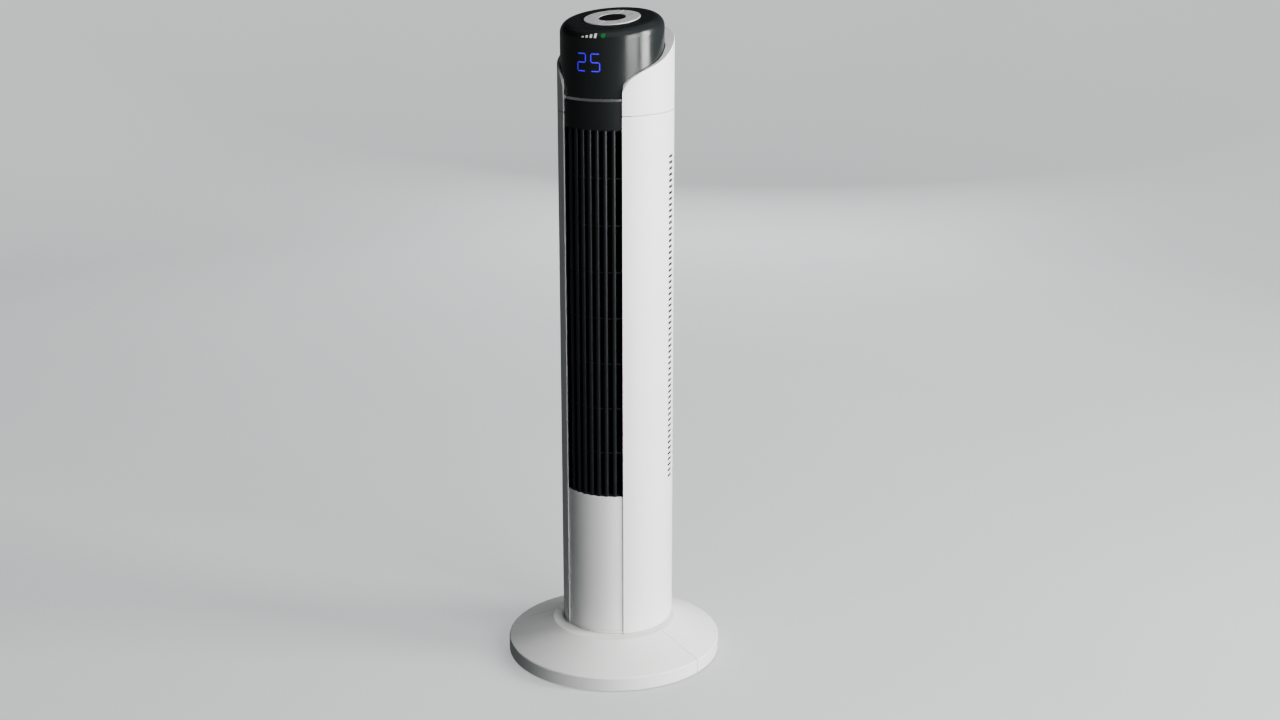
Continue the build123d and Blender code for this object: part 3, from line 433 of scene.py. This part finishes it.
def build_materials():
    """One material for each slot of the record."""
    return {
        "white_shell": white_shell(),
        "white_frame": white_frame(),
        "black_panel": black_panel(),
        "grille_black": grille_black(),
        "black_gloss": black_gloss(),
        "dark_plastic": dark_plastic(),
        "silver_key": silver_key(),
        "button_black": soft("button_black", (0.007, 0.008, 0.009), (0.010, 0.011, 0.012), 0.3, 0.4, 0.00001),
        "trim_chrome": trim_chrome(),
        "digit_blue": lit("digit_blue", (0.065, 0.0, 0.80), 0.72),
        # The white marks are print, not lamps: their faint glow is painted light.
        "mark_white": lit("mark_white", (0.80, 0.82, 0.80), 0.08),
        "led_green": lit("led_green", (0.01, 0.18, 0.03), 0.06),
        "circuit_board": soft("circuit_board", (0.02, 0.16, 0.06), (0.03, 0.22, 0.09), 0.3, 0.45, 0.00002),
        "steel": metal("plain_steel", (0.52, 0.53, 0.55), (0.60, 0.61, 0.63), 0.28, 0.42, (1, 1, 12)),
        "zinc_screw": metal("zinc_plate", (0.60, 0.60, 0.57), (0.72, 0.71, 0.66), 0.24, 0.38),
        "laminated_steel": metal(
            "laminated_steel", (0.24, 0.24, 0.25), (0.40, 0.40, 0.41), 0.35, 0.5, (0.1, 0.1, 14)
        ),
        "cast_ballast": soft("cast_ballast", (0.055, 0.056, 0.06), (0.085, 0.086, 0.09), 0.5, 0.75, 0.0002),
        "aluminium": metal("die_cast_aluminium", (0.62, 0.63, 0.64), (0.72, 0.73, 0.74), 0.32, 0.5),
        "copper": metal("enamelled_copper", (0.62, 0.24, 0.10), (0.78, 0.36, 0.18), 0.22, 0.36, (1, 1, 20)),
        "bronze": metal("sintered_bronze", (0.48, 0.32, 0.14), (0.60, 0.42, 0.22), 0.4, 0.55),
        "rubber": soft("black_rubber", (0.018, 0.018, 0.018), (0.032, 0.032, 0.032), 0.7, 0.85, 0.00006),
        "nylon": soft("natural_nylon", (0.70, 0.68, 0.60), (0.77, 0.75, 0.67), 0.38, 0.5, 0.00003),
        "impeller_plastic": soft(
            "impeller_plastic", (0.02, 0.02, 0.022), (0.03, 0.03, 0.033), 0.45, 0.6, 0.00003
        ),
    }


# ---------------------------------------------------------------- CAD nodes
def soften(node, width):
    """Round a moulded node's edges a little and keep its flat faces flat."""
    weld = node.modifiers.new("weld", "WELD")
    weld.merge_threshold = WELD_DISTANCE
    flat = node.modifiers.new("flat_faces", "DECIMATE")
    flat.decimate_type = "DISSOLVE"
    flat.angle_limit = FLAT_ANGLE
    edges = node.modifiers.new("soft_edges", "BEVEL")
    edges.width = width
    edges.segments = EDGE_SEGMENTS
    edges.limit_method = "ANGLE"
    edges.angle_limit = EDGE_ANGLE
    edges.use_clamp_overlap = False
    edges.harden_normals = True
    normals = node.modifiers.new("face_normals", "WEIGHTED_NORMAL")
    normals.keep_sharp = True


def dress_cad_nodes(materials):
    """Give every CAD node the material of its slot, and the visible mouldings soft edges."""
    slot_of = {part["node"]: part["material_slot"] for part in frame["record"]["subparts"]}
    for name, node in NODES.items():
        node.data.materials.clear()
        node.data.materials.append(materials[slot_of[name]])
        if name in SOFT_EDGES:
            soften(node, SOFT_EDGES[name])


# ---------------------------------------------------------------- dust screens behind the intake slots
def add_intake_screen(side, material):
    """Thin curved screen inside the rear shell on one side, -1 left or 1 right."""
    shell_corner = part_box("rear_shell")[1]
    first, last = (math.radians(angle) for angle in SCREEN_ANGLES)
    angles = [first + (last - first) * i / SCREEN_COLUMNS for i in range(SCREEN_COLUMNS + 1)]
    mesh = bmesh.new()
    rows = []
    for inset in (SCREEN_INSET, SCREEN_INSET + SCREEN_THICKNESS):
        a = shell_corner.x - inset
        b = shell_corner.y - COLUMN_CENTRE_Y - inset
        outline = [(side * a * math.sin(t), COLUMN_CENTRE_Y - b * math.cos(t)) for t in angles]
        for z in SCREEN_HEIGHTS:
            rows.append([mesh.verts.new((x, y, z)) for x, y in outline])
    outer_low, outer_high, inner_low, inner_high = rows
    loop = (outer_low, outer_high, inner_high, inner_low)
    for one, other in zip(loop, loop[1:] + loop[:1]):
        for i in range(SCREEN_COLUMNS):
            mesh.faces.new((one[i], one[i + 1], other[i + 1], other[i]))
    for i in (0, SCREEN_COLUMNS):
        mesh.faces.new((outer_low[i], outer_high[i], inner_high[i], inner_low[i]))
    bmesh.ops.recalc_face_normals(mesh, faces=mesh.faces)
    name = "intake_screen_" + ("right" if side > 0 else "left")
    screen = finished_object(name, mesh, material, smooth=False)
    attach(screen, "tower")


# ---------------------------------------------------------------- symbols on the ring keys
def band_outline(points, width):
    """Left and right sides of a line of the given width through plan points."""
    left, right = [], []
    for i, point in enumerate(points):
        before, after = points[max(i - 1, 0)], points[min(i + 1, len(points) - 1)]
        along = (after - before).normalized()
        across = Vector((-along.y, along.x)) * width / 2
        left.append(point + across)
        right.append(point - across)
    return left + right[::-1]


def arc(radius, start, end, steps=20):
    """Plan points on an arc about the origin, angles in degrees."""
    angles = [math.radians(start + (end - start) * i / steps) for i in range(steps + 1)]
    return [Vector((radius * math.cos(a), radius * math.sin(a))) for a in angles]


def arrow_head(tip_angle, base_angle, radius, half_width):
    """Triangle at the end of an arc."""
    tip = arc(radius, tip_angle, tip_angle, steps=1)[0]
    outer = arc(radius + half_width, base_angle, base_angle, steps=1)[0]
    inner = arc(radius - half_width, base_angle, base_angle, steps=1)[0]
    return [tip, outer, inner]


def symbol_outlines():
    """Plan outlines of the four symbols: faster, slower, swing and timer."""
    r, w = SYMBOL_RADIUS, SYMBOL_LINE
    bar = [Vector((-r, -w / 2)), Vector((r, -w / 2)), Vector((r, w / 2)), Vector((-r, w / 2))]
    upper_corners = ((-w / 2, SYMBOL_GAP), (w / 2, SYMBOL_GAP), (w / 2, r), (-w / 2, r))
    upper = [Vector(corner) for corner in upper_corners]
    lower = [Vector((p.x, -p.y)) for p in upper][::-1]
    swing = [band_outline(arc(r, SWING_START, SWING_END), w)]
    swing.append(arrow_head(SWING_START - ARROW_REACH, SWING_START, r, ARROW_HALF_WIDTH))
    swing.append(arrow_head(SWING_END + ARROW_REACH, SWING_END, r, ARROW_HALF_WIDTH))
    dial = [band_outline(arc(r, DIAL_START, DIAL_END, steps=40), w)]
    dial.append(band_outline([Vector((0, 0)), Vector((0, LONG_HAND))], w))
    dial.append(band_outline([Vector((SYMBOL_GAP, 0)), Vector((SHORT_HAND, 0))], w))
    return {
        "ring_key_right_front": [bar, upper, lower],
        "ring_key_left_front": [bar],
        "ring_key_left_rear": swing,
        "ring_key_right_rear": dial,
    }


def key_top(name, normal):
    """Middle of a key's flat top, from its own highest vertices along the slanted normal."""
    points = [vertex.co for vertex in NODES[name].data.vertices]
    height = max(point.dot(normal) for point in points)
    top = [point for point in points if point.dot(normal) > height - TOP_FACE_DEPTH]
    return sum(top, Vector()) / len(top)


def add_key_symbols(material):
    """A small printed symbol in the middle of each ring key, riding on that key."""
    bodies = frame["record"]["behaviour"]["bodies"]
    body_of = {node: body for body, nodes in bodies.items() for node in nodes}
    joint = next(j for j in frame["joints"] if j["name"] == "centre_button_press")
    normal = -Vector(joint["axis"]).normalized()
    across = Vector((1, 0, 0))
    up = normal.cross(across)
    for name, outlines in symbol_outlines().items():
        middle = key_top(name, normal)
        mesh = bmesh.new()
        for outline in outlines:
            bottom = [middle + across * p.x + up * p.y + normal * SYMBOL_LIFT for p in outline]
            low = [mesh.verts.new(p) for p in bottom]
            high = [mesh.verts.new(p + normal * SYMBOL_THICKNESS) for p in bottom]
            mesh.faces.new(low[::-1])
            mesh.faces.new(high)
            for i in range(len(low)):
                j = (i + 1) % len(low)
                mesh.faces.new((low[i], low[j], high[j], high[i]))
        bmesh.ops.recalc_face_normals(mesh, faces=mesh.faces)
        symbol = finished_object("symbol_" + name, mesh, material, smooth=False)
        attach(symbol, body_of[name])


add_camera()
add_world()
add_stage()
add_softbox("window_front_right", azimuth=71, size=(1.5, 2.5), power=114, colour=DAYLIGHT)
add_softbox("window_right", azimuth=104, size=(1.1, 2.5), power=174, colour=DAYLIGHT)
add_softbox("window_front", azimuth=50, size=(0.6, 2.5), power=38, colour=DAYLIGHT, glossy=False)
add_softbox("window_behind", azimuth=200, size=(1.6, 2.4), power=62, colour=COOL_LIGHT, glossy=False)
add_glow("glow_front", place=(0.73, -1.43, 3.4), size=3.2, power=15)
add_glow("glow_above", place=(-0.15, 0.3, 3.6), size=4.4, power=9)
MATERIALS = build_materials()
dress_cad_nodes(MATERIALS)
cloth = screen_cloth()
add_intake_screen(-1, cloth)
add_intake_screen(1, cloth)
add_key_symbols(symbol_ink())
